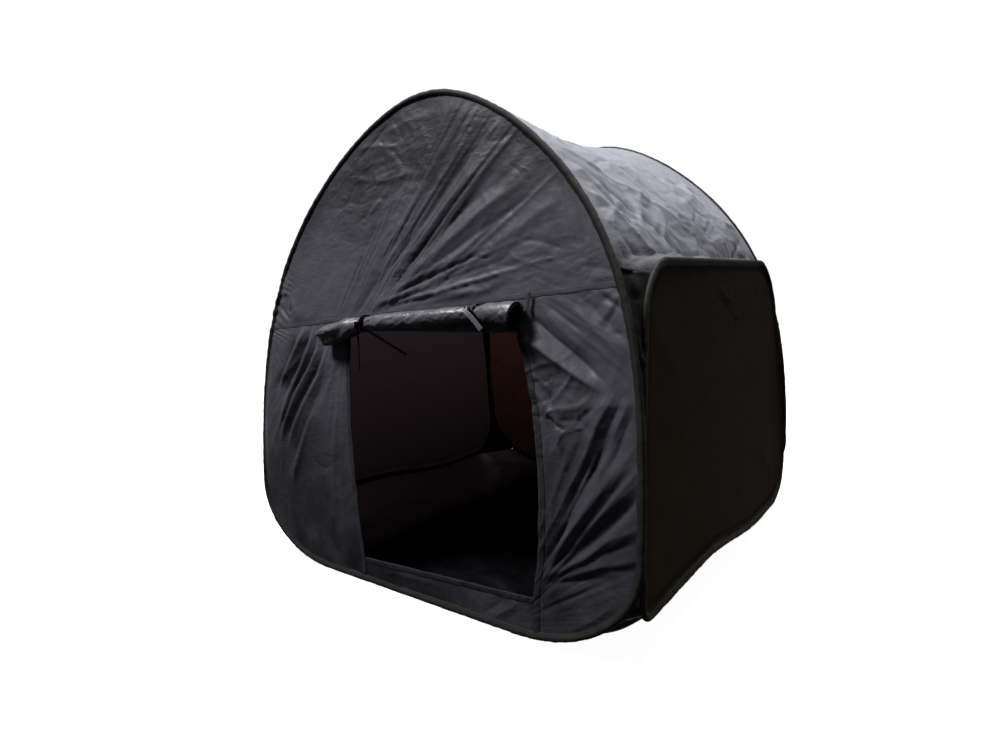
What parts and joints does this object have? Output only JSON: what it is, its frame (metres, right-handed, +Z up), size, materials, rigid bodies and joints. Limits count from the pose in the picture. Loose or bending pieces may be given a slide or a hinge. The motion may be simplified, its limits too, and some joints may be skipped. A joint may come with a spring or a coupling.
{
  "type": "pop-up play tent",
  "caption": "Pop-up play tent with two arched hoops and two side hoops carrying cloth walls, roof and ground sheet, with a doorway and its flap rolled up.",
  "frame": {"origin": "on the ground, under the middle of the tent's box", "axes": "+Z up, the doorway faces -Y, +X to the right as seen from in front of the doorway"},
  "size_m": [1.1, 1.0498, 1.0999],
  "materials": {
    "hoop_sleeve": "matt woven tape",
    "front_cloth": "thin woven polyester, slight sheen",
    "side_cloth": "thin woven polyester, taut",
    "roof_cloth": "thin woven polyester, creased",
    "rear_cloth": "thin woven polyester, lets light through",
    "floor_cloth": "coated woven polyester",
    "tie_tape": "narrow woven tape",
    "pale_tape": "narrow woven tape"
  },
  "bodies": {
    "root": {"front_hoop": "hoop_sleeve", "rear_hoop": "hoop_sleeve", "left_hoop": "hoop_sleeve", "right_hoop": "hoop_sleeve", "front_gable_panel": "front_cloth", "front_left_panel": "front_cloth", "front_right_panel": "front_cloth", "front_sill_panel": "front_cloth", "front_seam_band": "front_cloth", "door_hem_left": "front_cloth", "door_hem_right": "front_cloth", "sill_hem": "front_cloth", "door_flap_top": "front_cloth", "door_roll": "front_cloth", "rear_panel": "rear_cloth", "left_side_panel": "side_cloth", "right_side_panel": "side_cloth", "roof_sheet": "roof_cloth", "front_left_gusset": "side_cloth", "front_right_gusset": "side_cloth", "rear_left_gusset": "side_cloth", "rear_right_gusset": "side_cloth", "front_left_foot_gusset": "side_cloth", "front_right_foot_gusset": "side_cloth", "rear_left_foot_gusset": "side_cloth", "rear_right_foot_gusset": "side_cloth", "floor_sheet": "floor_cloth", "tie_band_left": "tie_tape", "tie_knot_left": "tie_tape", "tie_tail_left_long": "tie_tape", "tie_tail_left_short": "tie_tape", "tie_tail_right": "tie_tape", "tie_band_right": "pale_tape", "tie_knot_right": "pale_tape", "tie_loop_right": "pale_tape"}
  },
  "joints": []
}
